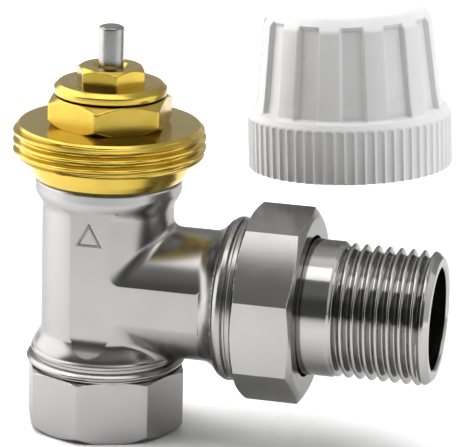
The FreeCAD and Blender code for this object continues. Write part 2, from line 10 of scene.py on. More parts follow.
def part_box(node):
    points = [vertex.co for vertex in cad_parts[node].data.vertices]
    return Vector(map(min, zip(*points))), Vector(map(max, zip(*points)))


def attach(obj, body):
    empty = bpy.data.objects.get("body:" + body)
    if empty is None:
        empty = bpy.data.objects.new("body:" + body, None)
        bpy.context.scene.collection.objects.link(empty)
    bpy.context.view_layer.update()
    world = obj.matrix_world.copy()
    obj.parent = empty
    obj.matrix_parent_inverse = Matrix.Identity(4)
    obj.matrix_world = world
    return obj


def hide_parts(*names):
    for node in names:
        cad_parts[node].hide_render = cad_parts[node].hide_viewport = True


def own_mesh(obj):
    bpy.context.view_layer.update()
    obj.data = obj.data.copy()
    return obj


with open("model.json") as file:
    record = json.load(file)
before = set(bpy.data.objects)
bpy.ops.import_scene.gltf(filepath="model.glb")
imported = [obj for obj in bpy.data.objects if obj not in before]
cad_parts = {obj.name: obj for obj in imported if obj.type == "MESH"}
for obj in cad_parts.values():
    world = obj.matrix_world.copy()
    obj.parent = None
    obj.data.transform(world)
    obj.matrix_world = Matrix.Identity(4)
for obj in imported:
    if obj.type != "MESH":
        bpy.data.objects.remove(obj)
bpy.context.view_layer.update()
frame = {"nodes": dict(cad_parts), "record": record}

# Angle radiator valve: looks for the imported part.
# Sizes below are millimetres in the part's own frame; meshes are scaled to metres
# when they are finished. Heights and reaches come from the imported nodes.

MM = 0.001


def low(node, axis):
    """Lowest place of a node along an axis (0, 1 or 2), in millimetres."""
    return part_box(node)[0][axis] / MM


def high(node, axis):
    """Highest place of a node along an axis, in millimetres."""
    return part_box(node)[1][axis] / MM


MOUNTS = {mount["name"]: mount for mount in frame["record"]["mounts"]}

# Driving sizes
OUTLET = MOUNTS["tail_bore"]["pos_m"][2] / MM      # outlet axis above the socket mouth
TAIL_END = high("tailpiece", 0)
TAIL_START = low("tailpiece", 0)
BODY_TOP = high("valve_body", 2)
RING_TOP = high("head_collar", 2)
SKIRT_BOTTOM = low("head_collar", 2)
HOUSING_TOP = high("insert_housing", 2)
SLEEVE_BOTTOM = low("insert_housing", 2)
GLAND_TOP = high("gland_nut", 2)
STEM_BOTTOM = low("gland_nut", 2)
PIN_TIP = high("drive_pin", 2)
PIN_BOTTOM = low("drive_pin", 2)
NUT_BACK = low("union_nut", 0)
NUT_FRONT = high("union_nut", 0)
UNION_FACE = high("valve_body", 0)
TAIL_CREST_R = MOUNTS["tail_thread"]["dims"]["r_mm"]
TAIL_BORE_R = MOUNTS["tail_bore"]["dims"]["r_mm"]
HEAD_CREST_R = MOUNTS["head_thread"]["dims"]["r_mm"]
SOCKET_BORE_R = MOUNTS["inlet_thread"]["dims"]["r_mm"]
CAP_BORE_R = MOUNTS["cap_thread"]["dims"]["r_mm"]

# Threads
PIPE_PITCH = 25.4 / 14
PIPE_DEPTH = 0.64 * PIPE_PITCH
HEAD_PITCH = 1.5
HEAD_DEPTH = 0.61 * HEAD_PITCH

# Forging
BARREL_R = 10.3
BRANCH_R = 10.3
FLAT_OFFSET = 9.8             # machined flat, in front of the spindle axis
FLAT_BOTTOM = 15.4
RIM_R = 11.4
RIM_HEIGHT = 1.8
RIM_TAPER = 2.6
SOCKET_TOP = 10.3
SOCKET_FLATS = 23.6
SOCKET_CORNER_FLATS = 24.5
SOCKET_TURN = 21.0             # degrees from the outlet to the octagon's first corner
BEAD_R = 12.6
SMALL_BEAD_R = 11.85
GROOVE_R = 11.2
CHAMBER_R = 7.8
TOP_BORE_R = 9.0
SEAT_R = 5.5
SEAT_HEIGHT = 15.0
PASSAGE_R = 6.5
BRANCH_BORE_R = 7.3
COLLAR_START = 17.4
COLLAR_FULL = 20.2
COLLAR_R = 12.8
UNION_THREAD_R = 12.85
RING_R = COLLAR_R - 0.5
BRANCH_END = COLLAR_FULL - 0.3  # end of the forged skin, inside the collar
FILLET_WIDTH = 2.2
RUN_OUT = 1.2                 # slope of the flat's lower end
FLAT_TOP = BODY_TOP - RIM_HEIGHT - RIM_TAPER / 2

UPRIGHT = Matrix.Identity(4)
ALONG_OUTLET = Matrix.Translation((0, 0, OUTLET)) @ Matrix.Rotation(math.radians(90), 4, "Y")


# ---- node helpers ----------------------------------------------------------

class Bench:
    """Adds nodes to a tree and joins them."""

    def __init__(self, tree):
        self.tree = tree

    def add(self, kind, settings=None, **sockets):
        """New node; sockets are given by name with spaces as underscores."""
        node = self.tree.nodes.new(kind)
        for key, value in (settings or {}).items():
            setattr(node, key, value)
        for key, value in sockets.items():
            self.put(node, key.replace("_", " "), value)
        return node

    def put(self, node, key, value):
        """Link or set an input, by its name or its number."""
        if isinstance(key, int):
            socket = node.inputs[key]
        else:
            socket = next(s for s in node.inputs if s.name == key and s.enabled)
        if isinstance(value, bpy.types.NodeSocket):
            self.tree.links.new(value, socket)
        else:
            socket.default_value = value

    def sum(self, operation, *values, clamp=False):
        """One step of arithmetic."""
        node = self.tree.nodes.new("ShaderNodeMath")
        node.operation = operation
        node.use_clamp = clamp
        for i, value in enumerate(values):
            self.put(node, i, value)
        return node.outputs[0]

    def fade(self, value, start, end, first=0.0, last=1.0, smooth=True):
        """Value carried from the range start-end to the range first-last, and held there."""
        node = self.tree.nodes.new("ShaderNodeMapRange")
        node.interpolation_type = "SMOOTHSTEP" if smooth else "LINEAR"
        for i, given in enumerate((value, start, end, first, last)):
            self.put(node, i, given)
        return node.outputs[0]


# ---- finishes --------------------------------------------------------------

def noise(bench, place, grain, detail=2.0, stretch=(1, 1, 1)):
    """Noise whose features are about a grain wide, in millimetres."""
    mapping = bench.add("ShaderNodeMapping", Vector=place, Scale=stretch)
    node = bench.add(
        "ShaderNodeTexNoise", Vector=mapping.outputs[0],
        Scale=1 / (grain * MM), Detail=detail, Roughness=0.55)
    return node.outputs["Fac"]


def finish(name, colours, roughness, grain, relief, metallic=1.0, lines=None, edge=1.0):
    """Surface with mottled colour, uneven roughness and a fine relief.

    colours are the two ends of the mottling, roughness its lowest and highest value,
    grain and relief the width and depth of the relief in millimetres, and lines the
    spacing, depth and axis of turning marks. edge dims metal seen at a glancing angle.
    """
    material = bpy.data.materials.new(name)
    material.use_nodes = True
    bench = Bench(material.node_tree)
    shader = material.node_tree.nodes["Principled BSDF"]
    place = bench.add("ShaderNodeTexCoord").outputs["Object"]
    mottle = noise(bench, place, 7.0, 2.0)
    smudge = noise(bench, place, 5.0, 3.0)
    grains = noise(bench, place, grain, 2.0)
    mix = bench.add("ShaderNodeMix", {"data_type": "RGBA"})
    bench.put(mix, "Factor", bench.fade(mottle, 0.35, 0.65))
    bench.put(mix, "A", (*colours[0], 1))
    bench.put(mix, "B", (*colours[1], 1))
    bench.put(shader, "Base Color", mix.outputs["Result"])
    bench.put(shader, "Roughness", bench.fade(smudge, 0.3, 0.7, roughness[0], roughness[1]))
    shader.inputs["Metallic"].default_value = metallic
    shader.inputs["Specular Tint"].default_value = (edge, edge, edge, 1)
    height = bench.sum("MULTIPLY", grains, relief * MM)
    if lines:
        spacing, depth, axis = lines
        stretch = [0.02, 0.02, 0.02]
        stretch[axis] = 1.0
        marks = noise(bench, place, spacing, 1.0, tuple(stretch))
        height = bench.sum("MULTIPLY_ADD", marks, depth * MM, height)
    bump = bench.add("ShaderNodeBump", Height=height, Distance=1.0, Strength=1.0)
    bench.put(shader, "Normal", bump.outputs[0])
    return material


SATIN_NICKEL = finish(
    "satin nickel", ((0.33, 0.327, 0.32), (0.345, 0.342, 0.335)), (0.24, 0.27), 0.2, 0.005, edge=0.6)
NUT_NICKEL = finish(
    "nut nickel", ((0.345, 0.342, 0.335), (0.36, 0.357, 0.35)), (0.19, 0.22), 0.2, 0.005, edge=0.5)
BRIGHT_NICKEL = finish(
    "bright nickel", ((0.36, 0.357, 0.35), (0.38, 0.377, 0.37)), (0.10, 0.14), 0.6, 0.001,
    lines=(0.12, 0.0012, 0), edge=0.6)
BRASS = finish(
    "machined brass", ((0.45, 0.32, 0.05), (0.5, 0.36, 0.07)), (0.20, 0.26), 0.5, 0.002,
    lines=(0.15, 0.0015, 2))
STEEL = finish(
    "turned steel", ((0.24, 0.24, 0.235), (0.28, 0.28, 0.275)), (0.22, 0.3), 0.4, 0.002,
    lines=(0.1, 0.001, 2))
SPRING_STEEL = finish(
    "drawn spring steel", ((0.4, 0.4, 0.42), (0.5, 0.5, 0.52)), (0.25, 0.35), 0.3, 0.002)
RUBBER = finish(
    "moulded rubber", ((0.03, 0.03, 0.03), (0.05, 0.05, 0.05)), (0.6, 0.75), 0.3, 0.006, metallic=0.0)
BUSH_PLASTIC = finish(
    "bush plastic", ((0.78, 0.77, 0.72), (0.84, 0.83, 0.79)), (0.4, 0.5), 0.5, 0.003, metallic=0.0)
WHITE_PLASTIC = finish(
    "white plastic", ((0.545, 0.545, 0.545), (0.565, 0.565, 0.565)), (0.38, 0.46), 0.35, 0.004,
    metallic=0.0)


# ---- turned pieces ---------------------------------------------------------

def outline(corners, step, closed=True, fine=None):
    """Points along corners of (radius, height, rounding), closer together in the fine stretch.

    fine is (lowest height, highest height, step, least radius).
    """
    count = len(corners)
    points = []
    for i, (r, z, rounding) in enumerate(corners):
        here = Vector((r, z))
        ends = not closed and i in (0, count - 1)
        if ends or not rounding:
            points.append(here)
            continue
        before = (Vector(corners[i - 1][:2]) - here).normalized()
        after = (Vector(corners[(i + 1) % count][:2]) - here).normalized()
        half = before.angle(after) / 2
        centre = here + (before + after).normalized() * rounding / math.sin(half)
        start = here + before * rounding / math.tan(half) - centre
        end = here + after * rounding / math.tan(half) - centre
        turns = max(2, int(math.degrees(math.pi - 2 * half) / 15) + 1)
        for k in range(turns + 1):
            share = k / turns
            spoke = start.lerp(end, share).normalized() * rounding
            points.append(centre + spoke)
    if closed:
        points.append(points[0].copy())
    dense = [points[0]]
    for a, b in zip(points, points[1:]):
        spacing = step
        if fine and min(a.y, b.y) < fine[1] and max(a.y, b.y) > fine[0] and min(a.x, b.x) >= fine[3]:
            spacing = fine[2]
        pieces = max(1, math.ceil((b - a).length / spacing))
        dense += [a.lerp(b, (k + 1) / pieces) for k in range(pieces)]
    return dense


def outline_object(points, masks):
    """Mesh polyline of the outline, with one named value per point for each mask."""
    mesh = bpy.data.meshes.new("outline")
    mesh.from_pydata([(p.x, 0, p.y) for p in points], [(i, i + 1) for i in range(len(points) - 1)], [])
    for name in ("thread", "sides", "flute", "rib"):
        layer = mesh.attributes.new(name, "FLOAT", "POINT")
        rule = masks.get(name)
        if rule:
            layer.data.foreach_set("value", [float(rule(p.x, p.y)) for p in points])
    thing = bpy.data.objects.new("outline", mesh)
    bpy.context.scene.collection.objects.link(thing)
    return thing


TURNED_INPUTS = {
    "Segments": ("NodeSocketInt", 192),
    "Turn": ("NodeSocketFloat", 0.0),
    "Thread Pitch": ("NodeSocketFloat", 1.0),
    "Thread Depth": ("NodeSocketFloat", 0.0),
    "Thread Crest": ("NodeSocketFloat", 0.1),
    "Sides": ("NodeSocketFloat", 6.0),
    "Flat Radius": ("NodeSocketFloat", 1000.0),
    "Corner Flat Radius": ("NodeSocketFloat", 1000.0),
    "Edge": ("NodeSocketFloat", 0.1),
    "Crown": ("NodeSocketFloat", 1.0),
    "Flutes": ("NodeSocketFloat", 12.0),
    "Flute Depth": ("NodeSocketFloat", 0.0),
    "Flute Share": ("NodeSocketFloat", 0.5),
    "Ribs": ("NodeSocketFloat", 64.0),
    "Rib Depth": ("NodeSocketFloat", 0.0),
    "Material": ("NodeSocketMaterial", None),
}


def turned_tree():
    """Geometry Nodes tree that spins an outline and cuts threads, flats, flutes and ribs in it."""
    tree = bpy.data.node_groups.new("turned piece", "GeometryNodeTree")
    tree.interface.new_socket("Outline", in_out="INPUT", socket_type="NodeSocketGeometry")
    for name, (kind, value) in TURNED_INPUTS.items():
        socket = tree.interface.new_socket(name, in_out="INPUT", socket_type=kind)
        if value is not None:
            socket.default_value = value
    tree.interface.new_socket("Piece", in_out="OUTPUT", socket_type="NodeSocketGeometry")
    bench = Bench(tree)
    given = bench.add("NodeGroupInput").outputs
    turn_full = 2 * math.pi

    size = bench.add("GeometryNodeAttributeDomainSize", Geometry=given["Outline"])
    rows = size.outputs["Point Count"]
    columns = bench.sum("ADD", given["Segments"], 1)
    grid = bench.add("GeometryNodeMeshGrid", Vertices_X=columns, Vertices_Y=rows)
    index = bench.add("GeometryNodeInputIndex").outputs[0]
    column = bench.sum("FLOOR", bench.sum("DIVIDE", bench.sum("ADD", index, 0.5), rows))
    row = bench.sum("ROUND", bench.sum("SUBTRACT", index, bench.sum("MULTIPLY", column, rows)))

    def sampled(kind, value):
        node = bench.add("GeometryNodeSampleIndex", {"data_type": kind})
        bench.put(node, "Geometry", given["Outline"])
        bench.put(node, "Value", value)
        bench.put(node, "Index", row)
        return next(s for s in node.outputs if s.enabled)

    def mask(name):
        named = bench.add("GeometryNodeInputNamedAttribute", {"data_type": "FLOAT"}, Name=name)
        return sampled("FLOAT", named.outputs["Attribute"])

    outline_place = bench.add("GeometryNodeInputPosition").outputs[0]
    place = bench.add("ShaderNodeSeparateXYZ", Vector=sampled("FLOAT_VECTOR", outline_place))
    radius = place.outputs["X"]
    height = place.outputs["Z"]
    around = bench.sum("MULTIPLY", bench.sum("DIVIDE", column, given["Segments"]), turn_full)
    angle = bench.sum("ADD", around, given["Turn"])

    def flat_cut(radius, flats_radius, offset):
        """Smaller of the radius and the distance to the nearest flat at this angle."""
        share = bench.sum("DIVIDE", turn_full / 2, given["Sides"])
        shifted = bench.sum("SUBTRACT", around, bench.sum("MULTIPLY", share, offset))
        off_flat = bench.sum("WRAP", shifted, share, bench.sum("MULTIPLY", share, -1.0))
        crown = bench.sum("POWER", bench.sum("COSINE", off_flat), given["Crown"])
        reach = bench.sum("DIVIDE", flats_radius, crown)
        return bench.sum("SMOOTH_MIN", radius, reach, given["Edge"])

    cut = flat_cut(radius, given["Flat Radius"], 1.0)
    cut = flat_cut(cut, given["Corner Flat Radius"], 0.0)
    sides = mask("sides")
    radius = bench.sum("ADD", radius, bench.sum("MULTIPLY", bench.sum("SUBTRACT", cut, radius), sides))

    pitches_up = bench.sum("DIVIDE", height, given["Thread Pitch"])
    phase = bench.sum("FRACT", bench.sum("SUBTRACT", pitches_up, bench.sum("DIVIDE", angle, turn_full)))
    from_groove = bench.sum("MULTIPLY", bench.sum("ABSOLUTE", bench.sum("SUBTRACT", phase, 0.5)), 2.0)
    crest_from = bench.sum("SUBTRACT", 1.0, given["Thread Crest"])
    groove = bench.fade(from_groove, 0.06, crest_from, 1.0, 0.0)
    thread = bench.sum("MULTIPLY", bench.sum("MULTIPLY", groove, given["Thread Depth"]), mask("thread"))
    radius = bench.sum("SUBTRACT", radius, thread)

    flute_pitch = bench.sum("DIVIDE", turn_full / 2, given["Flutes"])
    off_flute = bench.sum("WRAP", around, flute_pitch, bench.sum("MULTIPLY", flute_pitch, -1.0))
    flute_share = bench.sum("DIVIDE", bench.sum("ABSOLUTE", off_flute), flute_pitch)
    inner = bench.sum("SUBTRACT", given["Flute Share"], 0.06)
    outer = bench.sum("ADD", given["Flute Share"], 0.06)
    inside = bench.sum("MULTIPLY", bench.fade(flute_share, inner, outer, 1.0, 0.0), mask("flute"))
    flute_middle = bench.sum("SUBTRACT", radius, given["Flute Depth"])
    floor = bench.sum("DIVIDE", flute_middle, bench.sum("COSINE", off_flute))
    drop = bench.sum("MULTIPLY", bench.sum("SUBTRACT", radius, floor), inside)
    radius = bench.sum("SUBTRACT", radius, drop)

    ribs_round = bench.sum("DIVIDE", bench.sum("MULTIPLY", around, given["Ribs"]), turn_full)
    rib_phase = bench.sum("FRACT", ribs_round)
    from_gap = bench.sum("MULTIPLY", bench.sum("ABSOLUTE", bench.sum("SUBTRACT", rib_phase, 0.5)), 2.0)
    gap = bench.fade(from_gap, 0.45, 1.0, 1.0, 0.0)
    rib = bench.sum("MULTIPLY", bench.sum("MULTIPLY", gap, given["Rib Depth"]), mask("rib"))
    radius = bench.sum("SUBTRACT", radius, rib)

    spot = bench.add(
        "ShaderNodeCombineXYZ",
        X=bench.sum("MULTIPLY", radius, bench.sum("COSINE", angle)),
        Y=bench.sum("MULTIPLY", radius, bench.sum("SINE", angle)),
        Z=height)
    moved = bench.add("GeometryNodeSetPosition", Geometry=grid.outputs["Mesh"], Position=spot.outputs[0])
    joined = bench.add("GeometryNodeMergeByDistance", Geometry=moved.outputs[0], Distance=0.0005)
    real = bench.add("GeometryNodeRealizeInstances", Geometry=joined.outputs[0])
    painted = bench.add("GeometryNodeSetMaterial", Geometry=real.outputs[0], Material=given["Material"])
    result = bench.add("NodeGroupOutput")
    tree.links.new(painted.outputs[0], result.inputs["Piece"])
    return tree


def nodes_to_mesh(thing, tree, values):
    """Plain mesh that a tree makes from an object, with the tree's inputs set by identifier."""
    modifier = thing.modifiers.new("shape", "NODES")
    modifier.node_group = tree
    for item in tree.interface.items_tree:
        if item.item_type == "SOCKET" and item.in_out == "INPUT" and item.name in values:
            modifier[item.identifier] = values[item.name]
    view = bpy.context.evaluated_depsgraph_get()
    mesh = bpy.data.meshes.new_from_object(thing.evaluated_get(view))
    thing.modifiers.remove(modifier)
    bpy.data.objects.remove(thing)
    return mesh


def piece_from(mesh, name, body, replaced, material, place=UPRIGHT, sharp=28.0):
    """Finished object: placed, in metres, normals outwards, riding on its body."""
    mesh.transform(Matrix.Scale(MM, 4) @ place)
    work = bmesh.new()
    work.from_mesh(mesh)
    bmesh.ops.dissolve_degenerate(work, edges=work.edges, dist=1e-7)
    bmesh.ops.recalc_face_normals(work, faces=work.faces)
    if work.calc_volume(signed=True) < 0:
        bmesh.ops.reverse_faces(work, faces=work.faces)
    work.to_mesh(mesh)
    work.free()
    mesh.name = name
    mesh.materials.clear()
    mesh.materials.append(material)
    mesh.polygons.foreach_set("use_smooth", [True] * len(mesh.polygons))
    mesh.set_sharp_from_angle(angle=math.radians(sharp))
    thing = bpy.data.objects.new(name, mesh)
    bpy.context.scene.collection.objects.link(thing)
    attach(thing, body)
    if replaced:
        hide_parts(replaced)
    return thing


TURNED = turned_tree()


def turned(corners, material, step=0.6, closed=True, fine=None, masks=None, **sizes):
    """Mesh of a turned piece in millimetres; sizes are the tree's inputs with underscores."""
    points = outline(corners, step, closed, fine)
    values = {key.replace("_", " "): value for key, value in sizes.items()}
    values["Material"] = material
    return nodes_to_mesh(outline_object(points, masks or {}), TURNED, values)


def within(start, end, least_radius=0.0, ease=0.3):
    """Mask that is one between two heights outside a radius, easing in and out."""
    def rule(radius, height):
        if radius < least_radius:
            return 0.0
        rise = (height - start) / ease + 0.5
        fall = (end - height) / ease + 0.5
        return max(0.0, min(1.0, rise, fall))
    return rule


# ---- forging ---------------------------------------------------------------

def smooth_min(a, b, blend):
    """Smaller of two distances, rounded where they cross."""
    mix = np.clip(0.5 + 0.5 * (b - a) / blend, 0, 1)
    return b + (a - b) * mix - blend * mix * (1 - mix)


def smooth_max(a, b, blend):
    """Larger of two distances, rounded where they cross."""
    return -smooth_min(-a, -b, blend)


def ease(value, start, end):
    """Smooth step from 0 at start to 1 at end."""
    share = np.clip((value - start) / (end - start), 0, 1)
    return share * share * (3 - 2 * share)


def barrel_radius(height):
    """Outside radius of the barrel at a height: flare, plain stretch, taper and rim."""
    flare = 1.3 * ease(-height, -FLAT_BOTTOM - 0.4, -FLAT_BOTTOM + 2.8)
    rim = (RIM_R - BARREL_R) * ease(height, BODY_TOP - RIM_HEIGHT - RIM_TAPER, BODY_TOP - RIM_HEIGHT + 0.2)
    return BARREL_R + flare + rim


def branch_radius(reach):
    """Outside radius of the branch along the outlet: plain, then flaring to the collar."""
    share = np.clip((reach - COLLAR_START + 0.8) / (COLLAR_FULL - COLLAR_START + 0.8), 0, 1)
    return BRANCH_R + (COLLAR_R - BRANCH_R) * share ** 2 - 0.02


def forged_skin(points):
    """Distance from the barrel and branch before milling, with their even fillet."""
    x, y, z = points.T
    rise = z - OUTLET
    rho = np.hypot(x, y)
    off = np.hypot(y, rise)
    barrel = smooth_max(rho - barrel_radius(z), z - BODY_TOP, 0.3)
    barrel = np.maximum(barrel, SOCKET_TOP - z)
    branch = np.maximum(off - branch_radius(x), x - BRANCH_END)
    branch = np.maximum(branch, -x)
    cosine = np.clip(y * y / np.maximum(rho * off, 1e-6), 0, 1)
    blend = FILLET_WIDTH * np.sqrt((1 - cosine) / 2) + 0.05
    return smooth_min(barrel, branch, blend)


def milled_room(points):
    """Distance from the room cut away in front of the flat."""
    x, y, z = points.T
    ahead = y + FLAT_OFFSET
    foot = (FLAT_BOTTOM - z + RUN_OUT * ahead) / math.hypot(1, RUN_OUT)
    room = smooth_max(ahead, foot, 0.8)
    room = np.maximum(room, z - FLAT_TOP)
    return np.maximum(room, x - COLLAR_START)


def waterway(points):
    """Distance from the hollow: seat, chamber, bore for the head and branch bore."""
    x, y, z = points.T
    rho = np.hypot(x, y)
    off = np.hypot(y, z - OUTLET)
    chamber = np.maximum(rho - CHAMBER_R, SEAT_HEIGHT - z)
    top_bore = np.maximum(rho - TOP_BORE_R, SKIRT_BOTTOM - z)
    seat = np.maximum(rho - SEAT_R, z - SEAT_HEIGHT - 1)
    outlet = np.maximum(off - BRANCH_BORE_R, -x)
    return np.minimum(np.minimum(chamber, top_bore), np.minimum(seat, outlet))


def forging_distance(points):
    """Distance from the forging's skin in millimetres, negative inside the metal."""
    return np.maximum(np.maximum(forged_skin(points), -milled_room(points)), -waterway(points))


def surface_net(distance, lowest, highest, pitch):
    """Closed quad mesh of the zero surface of a distance, one point per crossed cell."""
    axes = [np.arange(a, b + pitch, pitch) for a, b in zip(lowest, highest)]
    nodes = np.stack(np.meshgrid(*axes, indexing="ij"), -1)
    shape = nodes.shape[:3]
    solid = (distance(nodes.reshape(-1, 3)) < 0).reshape(shape)
    cells = tuple(n - 1 for n in shape)
    count = np.zeros(cells, int)
    for i in (0, 1):
        for j in (0, 1):
            for k in (0, 1):
                count += solid[i:i + cells[0], j:j + cells[1], k:k + cells[2]]
    crossed = (count > 0) & (count < 8)
    number = np.full(cells, -1)
    number[crossed] = np.arange(crossed.sum())
    points = np.array(lowest) + (np.argwhere(crossed) + 0.5) * pitch
    quads = []
    for axis in range(3):
        first = np.take(solid, range(0, shape[axis] - 1), axis)
        second = np.take(solid, range(1, shape[axis]), axis)
        across, up = [a for a in range(3) if a != axis]
        edges = np.argwhere(first != second)
        edges = edges[(edges[:, across] > 0) & (edges[:, up] > 0)]
        edges = edges[(edges[:, across] < cells[across]) & (edges[:, up] < cells[up])]
        leaving = first[tuple(edges.T)]
        if axis == 1:
            leaving = ~leaving
        around = []
        for da, du in ((1, 1), (0, 1), (0, 0), (1, 0)):
            cell = edges.copy()
            cell[:, across] -= da
            cell[:, up] -= du
            around.append(number[tuple(cell.T)])
        loops = np.stack(around, 1)
        loops[~leaving] = loops[~leaving][:, ::-1]
        quads.append(loops)
    return points, np.concatenate(quads)


def slope(distance, points, reach=0.02):
    """Direction in which a distance grows fastest, with its rate."""
    sides = []
    for axis in range(3):
        shift = np.zeros(3)
        shift[axis] = reach
        sides.append((distance(points + shift) - distance(points - shift)) / (2 * reach))
    return np.stack(sides, 1)


def pulled(points, distance, pitch):
    """Points moved onto the zero surface of a distance, at most half a cell at a time."""
    for _ in range(6):
        grow = slope(distance, points)
        rate = np.maximum((grow ** 2).sum(1), 0.05)
        pull = (distance(points) / rate)[:, None] * grow
        length = np.linalg.norm(pull, axis=1, keepdims=True)
        points = points - pull * np.minimum(1, pitch / 2 / np.maximum(length, 1e-9))
    return points


def on_crease(points, near):
    """Which points lie where the milled flat meets the forged skin."""
    return (np.abs(forged_skin(points)) < near) & (np.abs(milled_room(points)) < near)


def forging_mesh(pitch):
    """Barrel and branch of the forging, with its points on the true surface and its edges."""
    reach = RIM_R + 1.5
    lowest = (-reach, -reach, SOCKET_TOP - 1)
    highest = (COLLAR_FULL + 1.5, reach, BODY_TOP + 1)
    points, quads = surface_net(forging_distance, lowest, highest, pitch)
    points = pulled(points, forging_distance, pitch)
    edge = on_crease(points, 0.45 * pitch)
    crease = points[edge]
    for _ in range(8):
        crease = pulled(crease, forged_skin, pitch)
        crease = pulled(crease, milled_room, pitch)
    held = on_crease(crease, 0.02)
    points[np.flatnonzero(edge)[held]] = crease[held]
    mesh = bpy.data.meshes.new("forging")
    mesh.from_pydata(points.tolist(), [], quads.tolist())
    return mesh


def shade_forging(mesh):
    """Give every corner of the forging the direction of the true surface beside it."""
    points = np.empty(len(mesh.vertices) * 3)
    mesh.vertices.foreach_get("co", points)
    points = points.reshape(-1, 3) / MM
    corners = np.empty(len(mesh.loops), int)
    mesh.loops.foreach_get("vertex_index", corners)
    starts = np.empty(len(mesh.polygons), int)
    mesh.polygons.foreach_get("loop_start", starts)
    sizes = np.diff(np.append(starts, len(corners)))
    middles = np.add.reduceat(points[corners], starts) / sizes[:, None]
    inward = np.where(on_crease(points, 0.03), 0.35, 0.0)[corners][:, None]
    spots = points[corners] * (1 - inward) + np.repeat(middles, sizes, 0) * inward
    facing = slope(forging_distance, spots)
    facing /= np.maximum(np.linalg.norm(facing, axis=1, keepdims=True), 1e-9)
    mesh.normals_split_custom_set(facing.tolist())


def socket_mesh():
    """Spanner octagon with its beads and threaded bore."""
    corner_r = SOCKET_CORNER_FLATS / 2 / math.cos(math.pi / 8)
    relief_r = SOCKET_BORE_R + 0.05
    corners = [
        (SOCKET_BORE_R + PIPE_DEPTH + 0.9, 0, 0.2),
        (SOCKET_FLATS / 2 + 0.2, 0, 0.3),
        (corner_r, 1.2, 0.3),
        (corner_r, SOCKET_TOP - 0.9, 0.3),
        (SOCKET_FLATS / 2 + 0.1, SOCKET_TOP - 0.25, 0.2),
        (GROOVE_R + 0.7, SOCKET_TOP - 0.35, 0.25),
        (BEAD_R - 0.35, SOCKET_TOP, 0.3),
        (BEAD_R, SOCKET_TOP + 0.5, 0.3),
        (BEAD_R - 0.5, SOCKET_TOP + 1.0, 0.3),
        (GROOVE_R, SOCKET_TOP + 1.35, 0.25),
        (SMALL_BEAD_R - 0.1, SOCKET_TOP + 1.7, 0.25),
        (SMALL_BEAD_R, SOCKET_TOP + 2.2, 0.3),
        (SMALL_BEAD_R - 0.5, SOCKET_TOP + 2.8, 0.3),
        (BARREL_R - 0.4, SOCKET_TOP + 3.1, 0.2),
        (SEAT_R, SOCKET_TOP + 3.1, 0.2),
        (SEAT_R, SOCKET_TOP + 1.7, 0.2),
        (PASSAGE_R, SOCKET_TOP + 1.5, 0.2),
        (PASSAGE_R, SOCKET_TOP - 0.5, 0.2),
        (relief_r, SOCKET_TOP - 0.5, 0.2),
        (SOCKET_BORE_R, SOCKET_TOP - 2.5, 0),
        (SOCKET_BORE_R, 0.9, 0),
    ]
    masks = {
        "sides": within(-1, SOCKET_TOP - 0.3, SOCKET_FLATS / 2 - 0.6, 0.1),
        "thread": lambda r, z: within(0.6, SOCKET_TOP - 3.4)(r, z) if r < SOCKET_BORE_R + 0.02 else 0.0,
    }
    return turned(
        corners, SATIN_NICKEL, fine=(0.5, SOCKET_TOP - 0.2, 0.14, SOCKET_BORE_R - 0.1), masks=masks,
        Segments=256, Turn=math.radians(SOCKET_TURN),
        Sides=4.0, Flat_Radius=SOCKET_CORNER_FLATS / 2, Corner_Flat_Radius=SOCKET_FLATS / 2, Edge=0.12,
        Thread_Pitch=PIPE_PITCH, Thread_Depth=-PIPE_DEPTH)


def collar_mesh():
    """Collar and ring of the branch with the union thread's land."""
    corners = [
        (BRANCH_BORE_R + 0.5, 17.0, 0),
        (BRANCH_R - 0.5, 17.0, 0),
        (BRANCH_R - 0.2, 18.6, 0.3),
        (COLLAR_R - 0.35, COLLAR_FULL - 0.1, 0.3),
        (COLLAR_R, COLLAR_FULL + 0.5, 0.3),
        (COLLAR_R, COLLAR_FULL + 1.2, 0.2),
        (RING_R, COLLAR_FULL + 1.45, 0.12),
        (RING_R, COLLAR_FULL + 1.8, 0.12),
        (UNION_THREAD_R - 0.05, COLLAR_FULL + 2.0, 0.15),
        (UNION_THREAD_R, UNION_FACE - 0.6, 0.2),
        (UNION_THREAD_R - 0.6, UNION_FACE, 0.1),
        (BRANCH_BORE_R + 2.0, UNION_FACE, 0.1),
        (BRANCH_BORE_R + 1.7, UNION_FACE - 4.1, 0.1),
        (BRANCH_BORE_R, UNION_FACE - 4.1, 0),
        (BRANCH_BORE_R, 18.0, 0),
    ]
    masks = {"thread": within(COLLAR_FULL + 3.2, UNION_FACE - 0.4, UNION_THREAD_R - 0.4)}
    fine = (COLLAR_FULL + 2.2, UNION_FACE, 0.14, UNION_THREAD_R - 0.5)
    return turned(corners, SATIN_NICKEL, fine=fine, masks=masks, Segments=192,
                  Thread_Pitch=PIPE_PITCH, Thread_Depth=0.6)


def mark_mesh():
    """Raised triangle on the machined flat."""
    middle = Vector((-0.25, 32.47))
    tips = [Vector((0, 2.63)), Vector((2.15, -1.27)), Vector((-2.15, -1.27))]
    inset_r = 1.27
    work = bmesh.new()
    loops = []
    for inset, proud in ((0, -0.25), (0.02, -0.02), (0.18, 0.2), (0.3, 0.2), (0.46, -0.02), (0.48, -0.25)):
        ring = []
        for tip in tips:
            spot = middle + tip * (1 - inset / inset_r)
            ring.append(work.verts.new((spot.x, -FLAT_OFFSET - proud, spot.y)))
        loops.append(ring)
    for a, b in zip(loops, loops[1:] + loops[:1]):
        for i in range(3):
            j = (i + 1) % 3
            work.faces.new((a[i], a[j], b[j], b[i]))
    bmesh.ops.bevel(work, geom=work.edges, offset=0.03, segments=2, affect="EDGES")
    mesh = bpy.data.meshes.new("mark")
    work.to_mesh(mesh)
    work.free()
    return mesh


